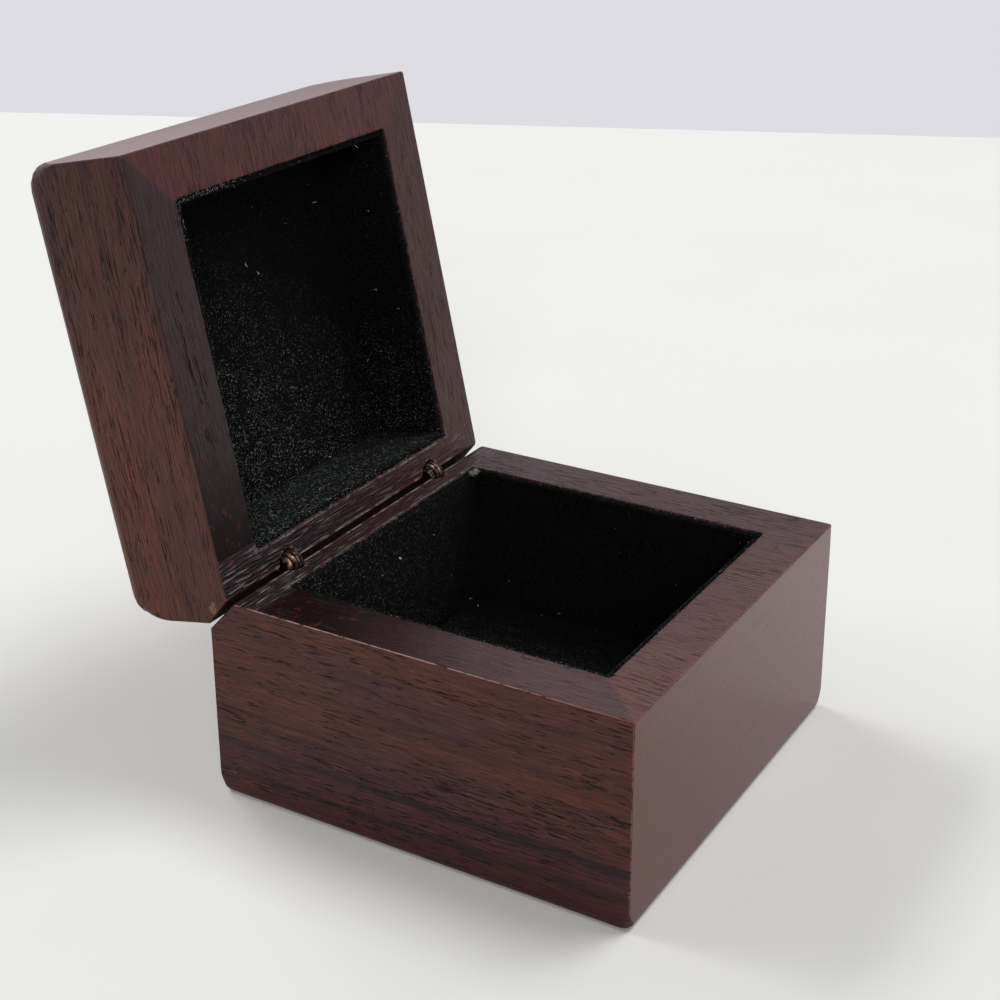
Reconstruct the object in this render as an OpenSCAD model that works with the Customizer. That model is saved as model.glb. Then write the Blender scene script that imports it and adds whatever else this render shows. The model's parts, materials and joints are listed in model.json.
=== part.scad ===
// Hinged wooden ring box with a velvet lining and two barrel hinges.
// Millimetres, Z up. The origin is the middle of the base's underside, the front faces -Y.
// The lid is drawn shut and then swung open about the hinge pins.

/* [Box] */
// Width of both halves, along the hinges
box_w = 65; // [50:1:100]
// Depth of both halves, front to rear
box_d = 65; // [50:1:100]
// Height of the base
base_h = 30.6; // [22:0.1:45]
// Height of the lid
lid_h = 18.8; // [14:0.1:30]
// Radius along the base's lower edges
base_edge_r = 1.2; // [0.5:0.1:2.5]
// Radius along the lid's upper edges
lid_edge_r = 2.5; // [0.5:0.1:4]
// Gap between the rims when the lid is shut
shut_gap = 0.2; // [0.1:0.05:0.5]
// How far the lid stands open
open_angle = 101.9; // [90:0.1:105]

/* [Pockets] */
// Wood at the left and right of each pocket
side_wall = 8.2; // [5:0.1:12]
// Wood in front of each pocket
front_wall = 7.6; // [5:0.1:12]
// Wood behind each pocket, which holds the hinges
rear_wall = 7.7; // [6.5:0.1:12]
// Wood under the base's pocket
base_floor = 6.7; // [3:0.1:10]
// Wood above the lid's pocket
lid_top = 4.2; // [2:0.1:6]

/* [Rear chamfers] */
// How far the base's chamfer cuts into its rim
base_chamfer_w = 4.3; // [3.6:0.1:4.7]
// How far the base's chamfer runs down its rear face
base_chamfer_h = 4.8; // [4.3:0.1:6]
// How far the lid's chamfer cuts into its rim
lid_chamfer_w = 3.5; // [3.3:0.1:4.2]
// How far the lid's chamfer runs up its rear face
lid_chamfer_h = 4.2; // [3.6:0.1:6]

/* [Lining] */
// Thickness of the velvet panels on the walls
wall_lining_t = 0.9; // [0.5:0.1:2]
// Thickness of the padded panels on the base's floor and under the lid's top
pad_lining_t = 1.2; // [0.6:0.1:3]
// How far the wall panels end below the rim
lining_drop = 0.4; // [0:0.1:2]
// Glue line between the panels, and between them and the wood
glue_gap = 0.05; // [0.02:0.01:0.2]

/* [Hinges] */
// Distance between the middles of the two hinges
hinge_spacing = 37; // [20:0.5:40]
// Distance from the box's rear face to the hinge pins
hinge_setback = 3.4; // [3.2:0.1:3.6]
// Diameter of a hinge's barrels
barrel_d = 4; // [3.7:0.1:4.3]
// Distance from the pin's axis to the far end of a barrel
barrel_l = 10; // [6.5:0.5:12]
// How far the barrels stay below the chamfers
barrel_sink = 0.1; // [0.05:0.05:0.3]
// Clearance round a barrel in its hole
barrel_fit = 0.03; // [0.01:0.01:0.1]
// Room under a barrel in its hole
hole_room = 0.3; // [0.1:0.1:1]
// Number of grip grooves round a barrel
grip_count = 18; // [8:1:24]
// Depth of a grip groove
grip_depth = 0.15; // [0.05:0.05:0.2]
// Length of the grooved stretch, from the barrel's far end
grip_l = 5; // [2:0.5:6]

/* [Leaves and pins] */
// Thickness of a leaf
leaf_t = 0.66; // [0.5:0.02:0.8]
// Side clearance between two leaves
leaf_gap = 0.05; // [0.03:0.01:0.1]
// Least thickness of a barrel beside the outer leaves
barrel_cheek = 0.2; // [0.1:0.05:0.5]
// How far the rounded leaf heads stay inside the barrel's diameter
head_inset = 0.1; // [0.05:0.05:0.3]
// Gap between the leaf heads and the ends of the barrels
head_gap = 0.1; // [0.05:0.05:0.3]
// Length of a leaf's tail, measured from the pin's axis
tail_l = 5; // [3.5:0.5:6]
// Clearance of a tail in its slot
tail_fit = 0.03; // [0.01:0.01:0.1]
// Clearance left at the open stop
stop_fit = 0.03; // [0.01:0.01:0.1]
// Diameter of a hinge pin
pin_d = 1; // [0.8:0.05:1.2]
// Radial clearance of the pin in the base's leaves
pin_grip = 0.01; // [0.01:0.01:0.03]
// Radial clearance of the pin in the lid's leaves
pin_run = 0.03; // [0.02:0.01:0.1]

/* [Hidden] */
$fn = 64;
// Overrun of a cut past the face that it opens
over = 1;
// Which way a side lies along X, and an end along Y
left = -1;
right = 1;
front = -1;
rear = 1;

inner_w = box_w - 2 * side_wall;
inner_d = box_d - front_wall - rear_wall;
pocket_y = (front_wall - rear_wall) / 2;

pin_y = box_d / 2 - hinge_setback;
pin_z = shut_gap / 2;
barrel_r = barrel_d / 2;
head_r = barrel_r - head_inset;
neck = head_r + head_gap;
// The leaves fill the barrel's diameter, the base's first and last
leaf_pitch = leaf_t + leaf_gap;
leaf_room = barrel_d - 2 * barrel_cheek + leaf_gap;
leaf_count = 2 * floor((leaf_room / leaf_pitch - 1) / 2) + 1;
pin_l = leaf_count * leaf_pitch - leaf_gap;

// Place in the stack of the first leaf of each half
base_leaf = 0;
lid_leaf = 1;

// In the open pose a leaf's tail lies on the end of the other half's barrel and so stops the lid.
// Its width comes from where that barrel's end meets its chamfer.
function end_y(chamfer_w, chamfer_h) =
    hinge_setback - chamfer_w + (neck - pin_z - barrel_sink) * chamfer_w / chamfer_h;
function tail_w(chamfer_w, chamfer_h) =
    2 * (neck * sin(open_angle) + min(barrel_r, end_y(chamfer_w, chamfer_h)) * cos(open_angle) - stop_fit);

// Both halves are drawn rim up, with the rim at z = 0, and then placed
module in_base() {
    translate([0, 0, base_h])
        children();
}

module in_lid() {
    translate([0, pin_y, base_h + pin_z])
        rotate([-open_angle, 0, 0])
            translate([0, -pin_y, pin_z])
                mirror([0, 0, 1])
                    children();
}

// Outline of a half seen from one side, with its two lower corners rounded
module half_outline(w, h, edge_r) {
    translate([-w / 2, edge_r - h])
        square([w, h - edge_r]);
    translate([edge_r - w / 2, -h])
        square([w - 2 * edge_r, h]);
    for (side = [left, right])
        translate([side * (w / 2 - edge_r), edge_r - h])
            circle(edge_r);
}

module half_body(h, edge_r) {
    intersection() {
        rotate([90, 0, 0])
            linear_extrude(box_d, center = true)
                half_outline(box_w, h, edge_r);
        rotate([90, 0, 90])
            linear_extrude(box_w, center = true)
                half_outline(box_d, h, edge_r);
    }
}

// What a rear chamfer takes away, over the box's whole width
module chamfer_cut(chamfer_w, chamfer_h) {
    past = 1.3;
    rotate([90, 0, 90])
        linear_extrude(box_w + 2 * over, center = true)
            translate([box_d / 2 - chamfer_w, 0])
                polygon([
                    [chamfer_w * (1 - past), chamfer_h * (past - 1)],
                    [chamfer_w * past, -chamfer_h * past],
                    [chamfer_w * past, chamfer_h * (past - 1)]]);
}

module block(h, floor_t, edge_r, chamfer_w, chamfer_h) {
    hole_l = barrel_l + hole_room;
    difference() {
        half_body(h, edge_r);
        translate([-inner_w / 2, pocket_y - inner_d / 2, floor_t - h])
            cube([inner_w, inner_d, h - floor_t + over]);
        chamfer_cut(chamfer_w, chamfer_h);
        for (side = [left, right])
            translate([side * hinge_spacing / 2, pin_y, pin_z - hole_l])
                cylinder(h = hole_l + over, r = barrel_r + barrel_fit);
    }
}

// The padded panel at the bottom of a pocket
module pad_lining(h, floor_t) {
    translate([glue_gap - inner_w / 2, pocket_y + glue_gap - inner_d / 2, floor_t - h + glue_gap])
        cube([inner_w - 2 * glue_gap, inner_d - 2 * glue_gap, pad_lining_t]);
}

// A panel on a pocket's wall, its lower edge on the padded panel
module wall_lining(w, d, h, floor_t) {
    z = floor_t - h + pad_lining_t + 2 * glue_gap;
    translate([-w / 2, -d / 2, z])
        cube([w, d, -lining_drop - z]);
}

module end_lining(end, h, floor_t) {
    y = (inner_d - wall_lining_t) / 2 - glue_gap;
    translate([0, pocket_y + end * y, 0])
        wall_lining(inner_w - 2 * glue_gap, wall_lining_t, h, floor_t);
}

// The side panels fit between the front and the rear one
module side_lining(side, h, floor_t) {
    x = (inner_w - wall_lining_t) / 2 - glue_gap;
    translate([side * x, pocket_y, 0])
        wall_lining(wall_lining_t, inner_d - 2 * wall_lining_t - 4 * glue_gap, h, floor_t);
}

// Everything of one hinge is drawn about the middle of its pin
module at_hinge(side) {
    translate([side * hinge_spacing / 2, pin_y, pin_z])
        children();
}

// Every second place in the stack, from the first or the second on
module leaf_places(first) {
    for (i = [first : 2 : leaf_count - 1])
        translate([(i - (leaf_count - 1) / 2) * leaf_pitch, 0, 0])
            children();
}

module barrel(side, first, chamfer_w, chamfer_h) {
    difference() {
        at_hinge(side)
            difference() {
                translate([0, 0, -barrel_l])
                    cylinder(h = barrel_l - neck, r = barrel_r);
                leaf_places(first)
                    translate([-leaf_t / 2 - tail_fit, -barrel_d, -tail_l - tail_fit])
                        cube([leaf_t + 2 * tail_fit, 2 * barrel_d, tail_l]);
                for (i = [0 : grip_count - 1])
                    rotate([0, 0, (i + 0.5) * 360 / grip_count])
                        translate([barrel_r, 0, -barrel_l - over])
                            cylinder(h = grip_l + over, r = grip_depth, $fn = 4);
            }
        translate([0, 0, -barrel_sink])
            chamfer_cut(chamfer_w, chamfer_h);
    }
}

// Round-headed leaves on the pin, with their tails down in the barrel's slots
module leaves(side, first, width, pin_fit) {
    at_hinge(side)
        difference() {
            intersection() {
                leaf_places(first)
                    cube([leaf_t, 2 * barrel_d, 2 * tail_l], center = true);
                union() {
                    sphere(head_r);
                    intersection() {
                        translate([0, 0, -tail_l])
                            cylinder(h = tail_l, r = head_r);
                        cube([barrel_d, width, 2 * tail_l], center = true);
                    }
                }
            }
            rotate([0, 90, 0])
                cylinder(h = barrel_d, r = pin_d / 2 + pin_fit, center = true);
        }
}

module pin(side) {
    at_hinge(side)
        rotate([0, 90, 0])
            cylinder(h = pin_l, d = pin_d, center = true);
}

module base_block() {
    color("saddlebrown")
        in_base()
            block(base_h, base_floor, base_edge_r, base_chamfer_w, base_chamfer_h);
}

module lid_block() {
    color("sienna")
        in_lid()
            block(lid_h, lid_top, lid_edge_r, lid_chamfer_w, lid_chamfer_h);
}

module base_floor_lining() {
    color("dimgray")
        in_base()
            pad_lining(base_h, base_floor);
}

module base_front_lining() {
    color("darkslategray")
        in_base()
            end_lining(front, base_h, base_floor);
}

module base_rear_lining() {
    color("darkslategray")
        in_base()
            end_lining(rear, base_h, base_floor);
}

module base_left_lining() {
    color("slategray")
        in_base()
            side_lining(left, base_h, base_floor);
}

module base_right_lining() {
    color("slategray")
        in_base()
            side_lining(right, base_h, base_floor);
}

module lid_top_lining() {
    color("dimgray")
        in_lid()
            pad_lining(lid_h, lid_top);
}

module lid_front_lining() {
    color("darkslategray")
        in_lid()
            end_lining(front, lid_h, lid_top);
}

module lid_rear_lining() {
    color("darkslategray")
        in_lid()
            end_lining(rear, lid_h, lid_top);
}

module lid_left_lining() {
    color("slategray")
        in_lid()
            side_lining(left, lid_h, lid_top);
}

module lid_right_lining() {
    color("slategray")
        in_lid()
            side_lining(right, lid_h, lid_top);
}

module hinge_base_barrel(side) {
    color("goldenrod")
        in_base()
            barrel(side, base_leaf, base_chamfer_w, base_chamfer_h);
}

module hinge_lid_barrel(side) {
    color("darkgoldenrod")
        in_lid()
            barrel(side, lid_leaf, lid_chamfer_w, lid_chamfer_h);
}

module hinge_base_leaves(side) {
    color("gold")
        in_base()
            leaves(side, base_leaf, tail_w(lid_chamfer_w, lid_chamfer_h), pin_grip);
}

module hinge_lid_leaves(side) {
    color("khaki")
        in_lid()
            leaves(side, lid_leaf, tail_w(base_chamfer_w, base_chamfer_h), pin_run);
}

module hinge_pin(side) {
    color("silver")
        in_base()
            pin(side);
}

base_block();
lid_block();
base_floor_lining();
base_front_lining();
base_rear_lining();
base_left_lining();
base_right_lining();
lid_top_lining();
lid_front_lining();
lid_rear_lining();
lid_left_lining();
lid_right_lining();
hinge_base_barrel(left);  // left_hinge_base_barrel
hinge_lid_barrel(left);  // left_hinge_lid_barrel
hinge_base_leaves(left);  // left_hinge_base_leaves
hinge_lid_leaves(left);  // left_hinge_lid_leaves
hinge_pin(left);  // left_hinge_pin
hinge_base_barrel(right);  // right_hinge_base_barrel
hinge_lid_barrel(right);  // right_hinge_lid_barrel
hinge_base_leaves(right);  // right_hinge_base_leaves
hinge_lid_leaves(right);  // right_hinge_lid_leaves
hinge_pin(right);  // right_hinge_pin
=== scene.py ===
# Wooden ring box, open, with black velvet pockets and two brass barrel hinges.
# Both halves are built rim up, with the rim at z = 0, and then set on the base or swung open with the lid.
import bmesh
import bpy
import json
import math
import random
from mathutils import Matrix, Vector, noise


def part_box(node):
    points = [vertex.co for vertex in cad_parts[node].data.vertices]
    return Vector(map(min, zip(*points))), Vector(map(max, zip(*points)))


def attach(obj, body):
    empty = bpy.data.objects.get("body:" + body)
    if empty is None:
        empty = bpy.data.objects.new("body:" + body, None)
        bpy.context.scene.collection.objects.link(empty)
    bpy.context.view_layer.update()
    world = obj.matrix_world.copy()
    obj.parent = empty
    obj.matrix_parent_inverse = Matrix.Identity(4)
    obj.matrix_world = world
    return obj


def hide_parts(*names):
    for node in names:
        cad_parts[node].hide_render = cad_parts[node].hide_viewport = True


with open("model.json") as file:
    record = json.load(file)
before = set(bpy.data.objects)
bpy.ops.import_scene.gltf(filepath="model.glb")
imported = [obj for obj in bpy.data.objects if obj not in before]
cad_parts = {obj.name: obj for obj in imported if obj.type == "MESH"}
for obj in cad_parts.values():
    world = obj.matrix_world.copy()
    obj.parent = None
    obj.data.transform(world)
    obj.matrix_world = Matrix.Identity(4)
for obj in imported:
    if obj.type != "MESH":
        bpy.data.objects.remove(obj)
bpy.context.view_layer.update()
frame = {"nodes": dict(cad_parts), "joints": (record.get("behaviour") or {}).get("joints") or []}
mm = 0.001
random.seed(7)


def linear(hexColor):  # sRGB hex to Blender's linear colour
    parts = [int(hexColor[i:i + 2], 16) / 255 for i in (1, 3, 5)]
    return tuple(c / 12.92 if c <= 0.04045 else ((c + 0.055) / 1.055) ** 2.4 for c in parts) + (1.0,)


def addNode(tree, kind, inputs=None, ramp=None, **settings):
    made = tree.nodes.new(kind)
    for key, value in settings.items():
        setattr(made, key, value)
    for key, value in (inputs or {}).items():
        if isinstance(value, bpy.types.NodeSocket):
            tree.links.new(value, made.inputs[key])
        else:
            made.inputs[key].default_value = value
    if ramp:
        made.color_ramp.elements[0].position, made.color_ramp.elements[0].color = ramp[0]
        made.color_ramp.elements[1].position, made.color_ramp.elements[1].color = ramp[-1]
        for place, color in ramp[1:-1]:
            made.color_ramp.elements.new(place).color = color
    return made


def newMaterial(name):
    material = bpy.data.materials.new(name)
    material.use_nodes = True
    tree = material.node_tree
    tree.nodes.clear()
    surface = addNode(tree, "ShaderNodeBsdfPrincipled")
    addNode(tree, "ShaderNodeOutputMaterial", {"Surface": surface.outputs["BSDF"]})
    return material, tree, surface


# Where the halves are: the base stands on the origin, the lid turns about the hinge pins

lidJoint = frame["joints"][0]
pin = Vector(lidJoint["pos_m"])
openAngle = math.radians(lidJoint["range_deg"][1])
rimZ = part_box("base_block")[1][2]
rimGap = pin.z - rimZ
toBase = Matrix.Translation((0, 0, rimZ))
toLid = (Matrix.Translation(pin) @ Matrix.Rotation(-openAngle, 4, "X")
         @ Matrix.Translation((0, -pin.y, rimGap)) @ Matrix.Rotation(math.pi, 4, "Y"))


def localPoints(node, place):
    back = place.inverted()
    return [back @ v.co for v in frame["nodes"][node].data.vertices]


def localBox(node, place):
    points = localPoints(node, place)
    return [Vector([pick(p[i] for p in points) for i in range(3)]) for pick in (min, max)]


def blockSizes(node, place):  # the block's outline, read from the CAD node
    points = localPoints(node, place)
    low, high = localBox(node, place)
    tiny = 0.02 * mm
    rim = [p for p in points if p.z > -tiny]
    rear = [p for p in points if p.y > high.y - tiny]
    under = [p for p in points if p.z < low.z + tiny]
    return {
        "width": high.x - low.x, "depth": high.y - low.y, "height": -low.z,
        "chamferIn": high.y - max(p.y for p in rim), "chamferDown": -max(p.z for p in rear),
        "softEdge": high.x - max(p.x for p in under),
    }


halves = {
    "base": {"place": toBase, "block": "base_block", "pad": "base_floor_lining"},
    "lid": {"place": toLid, "block": "lid_block", "pad": "lid_top_lining"},
}
for half in halves.values():
    half["size"] = blockSizes(half["block"], half["place"])
    half["pocket"] = localBox(half["pad"], half["place"])
    half["size"]["pocketRear"] = half["pocket"][1].y
    half["size"]["rimRear"] = half["size"]["depth"] / 2 - half["size"]["chamferIn"]


# Materials

woods = {  # sRGB; "low" and "dark" say which way a darker tone comes in and between which two places, in half sizes. "dark" is painted shade on the rim towards the hinge; the base's "low" is painted shade towards its bottom
    "base": {
        "cool": "#421F25", "warm": "#4F2517", "deep": "#180A0A", "edge": "#3B0E0B", "low": ((0, 0, -1), 0.5, 1.0),
        "rimLeft": "#4A2E30", "rimRight": "#402628", "frontLeft": "#5E3937", "frontRight": "#4B2C2B", "rimDeep": "#150506",
        "dark": ((-0.7, 1.0, 0), 0.1, 1.05), "end": "#582F2B", "endSheenPainted": "#765557", "wearAndHighlight": 0.15,
        "knot": (29.4, 24.5, 0.0), "bands": (0.25, 0.6), "rough": -1.0, "shift": (0.0, 0.0, 0.0),
    },
    "lid": {
        "cool": "#4A201B", "warm": "#572613", "deep": "#1A0B08", "edge": "#360F08", "low": ((0, -1, 0), 0.1, 1.1),
        "rimLeft": "#40221F", "rimRight": "#2E171A", "frontLeft": "#4B211F", "frontRight": "#4B211F", "rimDeep": "#120405",
        "dark": ((0.6, 1.0, 0), 0.45, 1.1), "end": "#582F2B", "endSheenPainted": "#765557", "wearAndHighlight": 0.03,
        "knot": (6.0, -60.0, 0.0), "bands": (-1.5, 3.0), "rough": 1.0, "shift": (41.0, 13.0, 27.0),
    },
}
grain = {  # millimetres across the width, along the grain, and through the thickness
    "patch": (14.0, 46.0, 9.0),
    "band": (8.0, 130.0, 2.3),
    "streak": (2.0, 40.0, 0.8),
    "fibre": (0.26, 5.0, 0.24),    # the real ones are 0.05 wide, too fine to show
    "pore": (0.33, 3.6, 0.30),
    "crack": (0.60, 13.0, 0.50),
    "crowd": (5.0, 30.0, 3.0),
}


def woodGrain(tree, look, size):
    # Straight grain runs from front to rear. Everything later is laid over these patterns.
    coords = addNode(tree, "ShaderNodeTexCoord").outputs
    made = {"mm": addNode(tree, "ShaderNodeMapping", {"Vector": coords["Object"], "Scale": (1000,) * 3}).outputs[0]}
    made["normal"] = addNode(tree, "ShaderNodeSeparateXYZ", {0: coords["Normal"]}).outputs
    made["place"] = addNode(tree, "ShaderNodeVectorMath", {
        0: coords["Object"], 1: (2 / size["width"], 2 / size["depth"], 1 / size["height"])}, operation="MULTIPLY").outputs[0]
    made["shifted"] = addNode(tree, "ShaderNodeVectorMath", {0: made["mm"], 1: look["shift"]}, operation="ADD").outputs[0]
    wander = addNode(tree, "ShaderNodeTexNoise", {"Vector": addNode(tree, "ShaderNodeMapping", {
        "Vector": made["shifted"], "Scale": (1 / 26, 1 / 48, 1 / 26)}).outputs[0], "Scale": 1.0, "Detail": 2.0}).outputs["Color"]
    pushed = addNode(tree, "ShaderNodeVectorMath", {0: wander, 1: (0.5,) * 3}, operation="SUBTRACT").outputs[0]
    pushed = addNode(tree, "ShaderNodeVectorMath", {0: pushed, 1: (4.0, 0.0, 3.0)}, operation="MULTIPLY").outputs[0]
    along = addNode(tree, "ShaderNodeVectorMath", {0: made["shifted"], 1: pushed}, operation="ADD").outputs[0]
    for key, detail, rough in (("patch", 2.0, 0.5), ("band", 2.0, 0.5), ("streak", 4.0, 0.6), ("fibre", 3.0, 0.6),
                               ("pore", 2.0, 0.6), ("crack", 2.0, 0.6), ("crowd", 2.0, 0.5)):
        mapped = addNode(tree, "ShaderNodeMapping", {"Vector": along, "Scale": tuple(1 / s for s in grain[key])})
        made[key] = addNode(tree, "ShaderNodeTexNoise", {
            "Vector": mapped.outputs[0], "Scale": 1.0, "Detail": detail, "Roughness": rough}).outputs["Fac"]
    # Pores come in crowds, and a few of them run on as cracks
    limit = addNode(tree, "ShaderNodeMapRange", {0: made["crowd"], 1: 0.36, 2: 0.66, 3: 0.34, 4: 0.45}).outputs[0]
    depth = addNode(tree, "ShaderNodeMath", {0: limit, 1: made["pore"]}, operation="SUBTRACT").outputs[0]
    pores = addNode(tree, "ShaderNodeMapRange", {0: depth, 1: 0.0, 2: 0.045}).outputs[0]
    cracks = addNode(tree, "ShaderNodeMapRange", {0: made["crack"], 1: 0.315, 2: 0.275}).outputs[0]
    made["open"] = addNode(tree, "ShaderNodeMath", {0: pores, 1: cracks}, operation="MAXIMUM").outputs[0]
    made["tone"] = addNode(tree, "ShaderNodeMapRange", {0: made["fibre"], 1: 0.34, 2: 0.64, 3: 0.66, 4: 1.26}).outputs[0]
    made["pale"] = addNode(tree, "ShaderNodeMapRange", {0: made["fibre"], 1: 0.54, 2: 0.70, 4: 0.20}).outputs[0]
    made["relief"] = addNode(tree, "ShaderNodeMath", {0: made["fibre"], 1: made["open"]}, operation="SUBTRACT").outputs[0]
    return made


def stainedWood(name, look, size):
    # Hardwood stained mahogany red, sanded and sprayed with one thin coat of satin varnish. Fine
    # straight grain with short open pores lies under a weak grey sheen. The mating faces are drawn
    # nearly black towards the hinge, a painted shade, and the edges carry a pale line that is partly
    # wear and partly a painted highlight.
    material, tree, surface = newMaterial(name)
    wood = woodGrain(tree, look, size)
    mixed = addNode(tree, "ShaderNodeMapRange", {0: wood["patch"], 1: 0.38, 2: 0.62}).outputs[0]
    body = addNode(tree, "ShaderNodeMix", {0: mixed, 6: linear(look["cool"]), 7: linear(look["warm"])}, data_type="RGBA").outputs[2]
    # Darker and redder towards "low". On the base this is painted shade towards the bottom of the sides, and the dark
    # bands grow towards it too; on the lid the sides darken towards its front end
    way, start, end = look["low"]
    lower = addNode(tree, "ShaderNodeVectorMath", {0: wood["place"], 1: way}, operation="DOT_PRODUCT").outputs["Value"]
    low = addNode(tree, "ShaderNodeMapRange", {0: lower, 1: start, 2: end, 4: 0.9}).outputs[0]
    body = addNode(tree, "ShaderNodeMix", {0: low, 6: body, 7: linear(look["edge"])}, data_type="RGBA").outputs[2]
    banded = addNode(tree, "ShaderNodeMapRange", {0: lower, 1: look["bands"][0], 2: look["bands"][1], 4: 0.8}).outputs[0]
    for key, start, end, most in (("band", 0.46, 0.38, banded), ("streak", 0.47, 0.34, 0.5)):
        dark = addNode(tree, "ShaderNodeMapRange", {0: wood[key], 1: start, 2: end, 4: most}).outputs[0]
        body = addNode(tree, "ShaderNodeMix", {0: dark, 6: body, 7: linear(look["deep"])}, data_type="RGBA").outputs[2]
    body = addNode(tree, "ShaderNodeVectorMath", {0: body, "Scale": wood["tone"]}, operation="SCALE").outputs[0]
    # The raised fibres are drawn paler: grain tone, with a painted sheen on them
    body = addNode(tree, "ShaderNodeMix", {0: wood["pale"], 6: body, 7: linear("#744C3C")}, data_type="RGBA").outputs[2]
    # The rim: the front rail took the stain redder than the sides, with a line between them like a mitre
    spot = addNode(tree, "ShaderNodeSeparateXYZ", {0: wood["place"]}).outputs
    aside = addNode(tree, "ShaderNodeMath", {0: spot[0]}, operation="ABSOLUTE").outputs[0]
    front = addNode(tree, "ShaderNodeMath", {0: spot[1], 1: aside}, operation="ADD").outputs[0]
    front = addNode(tree, "ShaderNodeMapRange", {0: front, 1: 0.012, 2: -0.012}).outputs[0]
    # Left and right of the rim are drawn in different tones: painted light and shade across the rim
    right = addNode(tree, "ShaderNodeMapRange", {0: spot[0], 1: -0.8, 2: 0.8}).outputs[0]
    side = addNode(tree, "ShaderNodeMix", {0: right, 6: linear(look["rimLeft"]), 7: linear(look["rimRight"])}, data_type="RGBA").outputs[2]
    rail = addNode(tree, "ShaderNodeMix", {0: right, 6: linear(look["frontLeft"]), 7: linear(look["frontRight"])}, data_type="RGBA").outputs[2]
    rim = addNode(tree, "ShaderNodeMix", {0: front, 6: side, 7: rail}, data_type="RGBA").outputs[2]
    rim = addNode(tree, "ShaderNodeVectorMath", {0: rim, "Scale": wood["tone"]}, operation="SCALE").outputs[0]
    # Painted shade: the rim is drawn nearly black towards the hinge, where the other half shades it
    way, start, end = look["dark"]
    dark = addNode(tree, "ShaderNodeVectorMath", {0: wood["place"], 1: way}, operation="DOT_PRODUCT").outputs["Value"]
    dark = addNode(tree, "ShaderNodeMapRange", {0: dark, 1: start, 2: end}).outputs[0]
    rim = addNode(tree, "ShaderNodeMix", {0: dark, 6: rim, 7: linear(look["rimDeep"])}, data_type="RGBA").outputs[2]
    # A knot beside the corner bends its year lines round itself
    knot = addNode(tree, "ShaderNodeVectorMath", {0: wood["mm"], 1: look["knot"]}, operation="SUBTRACT").outputs[0]
    knot = addNode(tree, "ShaderNodeVectorMath", {0: knot, 1: (1.0, 0.45, 0.6)}, operation="MULTIPLY").outputs[0]
    turns = addNode(tree, "ShaderNodeTexWave", {"Vector": knot, "Scale": 1 / 2.6, "Distortion": 1.6, "Detail": 2.0,
                                                "Detail Scale": 0.8}, wave_type="RINGS", rings_direction="SPHERICAL").outputs["Fac"]
    away = addNode(tree, "ShaderNodeVectorMath", {0: knot}, operation="LENGTH").outputs["Value"]
    turns = addNode(tree, "ShaderNodeMapRange", {0: turns, 1: 0.45, 2: 0.12, 4: 0.75}).outputs[0]
    away = addNode(tree, "ShaderNodeMapRange", {0: away, 1: 4.2, 2: 2.2}).outputs[0]
    turns = addNode(tree, "ShaderNodeMath", {0: turns, 1: away}, operation="MULTIPLY").outputs[0]
    rim = addNode(tree, "ShaderNodeMix", {0: turns, 6: rim, 7: linear(look["rimDeep"])}, data_type="RGBA").outputs[2]
    # The narrow rail between the hinges is torn into grooves, with pale and red fibres on their ridges; the pale ridge
    # tops are partly painted highlights
    furrow = addNode(tree, "ShaderNodeTexNoise", {"Vector": addNode(tree, "ShaderNodeMapping", {
        "Vector": wood["shifted"], "Scale": (1 / 4.0, 1 / 0.36, 1 / 0.36)}).outputs[0], "Scale": 1.0, "Detail": 4.0}).outputs["Fac"]
    facing = addNode(tree, "ShaderNodeMapRange", {0: wood["normal"][2], 1: 0.6, 2: 0.8}).outputs[0]
    rear = addNode(tree, "ShaderNodeMapRange", {0: spot[1], 1: 0.72, 2: 0.78}).outputs[0]
    rear = addNode(tree, "ShaderNodeMath", {0: rear, 1: facing}, operation="MULTIPLY").outputs[0]
    rub = addNode(tree, "ShaderNodeTexNoise", {"Vector": wood["shifted"], "Scale": 1 / 1.6, "Detail": 5.0, "Roughness": 0.7}).outputs["Fac"]
    stain = addNode(tree, "ShaderNodeTexNoise", {"Vector": wood["shifted"], "Scale": 1 / 3.4, "Detail": 3.0}).outputs["Fac"]
    rough = addNode(tree, "ShaderNodeMath", {0: spot[0], 1: look["rough"]}, operation="MULTIPLY").outputs[0]
    rough = addNode(tree, "ShaderNodeMapRange", {0: rough, 1: 0.1, 2: 0.6, 3: 0.30, 4: 0.9}).outputs[0]
    ridge = addNode(tree, "ShaderNodeMapRange", {0: furrow, 1: 0.56, 2: 0.66, 4: rough}).outputs[0]
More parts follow.
